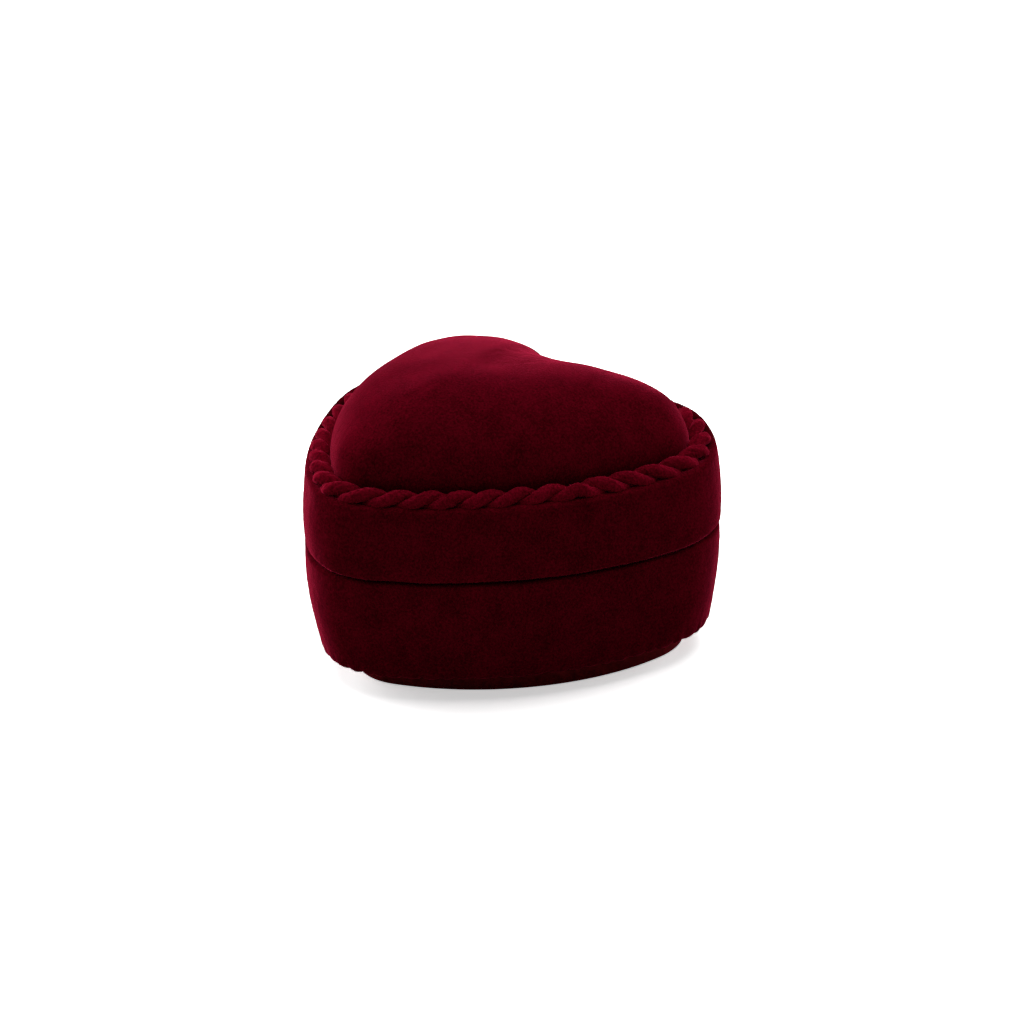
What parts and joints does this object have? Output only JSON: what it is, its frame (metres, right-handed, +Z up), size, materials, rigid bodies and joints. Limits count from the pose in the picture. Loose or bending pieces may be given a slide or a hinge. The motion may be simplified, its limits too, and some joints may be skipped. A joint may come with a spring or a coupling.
{
  "type": "heart ring box",
  "caption": "Heart-shaped velvet ring box with a padded crown and twisted cord on a lid hinged at the cleft, a slotted ring pad inside and a recessed foot.",
  "frame": {"origin": "on the ground under the middle of the box's overall length and width", "axes": "+Z up, +Y towards the cleft and hinge, -Y towards the heart's tip, +X to the right seen from the tip"},
  "size_m": [0.06, 0.0581, 0.0414],
  "materials": {
    "velvet": "deep burgundy velvet pile",
    "cord": "burgundy velvet two-ply cord",
    "foot_cloth": "dark burgundy short-pile cloth",
    "satin": "burgundy satin",
    "foam": "open-cell foam and wadding",
    "board": "grey board",
    "moulding": "moulded black plastic",
    "steel": "plain stamped steel"
  },
  "bodies": {
    "base": {"foot_board": "board", "foot_cover": "foot_cloth", "base_shell": "moulding", "base_velvet": "velvet", "base_filler_card": "board", "ring_pad_board": "board", "front_pad_foam": "foam", "front_pad_cover": "velvet", "rear_pad_foam": "foam", "rear_pad_cover": "velvet", "hinge_leaf_base": "steel", "hinge_pin": "steel", "snap_spring": "steel", "base_rivets": "steel"},
    "lid": {"lid_shell": "moulding", "lid_wall_velvet": "velvet", "crown_foam": "foam", "crown_velvet": "velvet", "cord_trim": "cord", "lid_wall_lining": "satin", "lid_wadding": "foam", "lid_satin": "satin", "hinge_leaf_lid": "steel", "lid_rivets": "steel"}
  },
  "joints": [
    {"name": "lid_hinge", "type": "hinge", "parent": "base", "child": "lid", "pos_m": [0, 0.02792, 0.0183], "axis": [-1, 0, 0], "range_deg": [0, 100]}
  ]
}
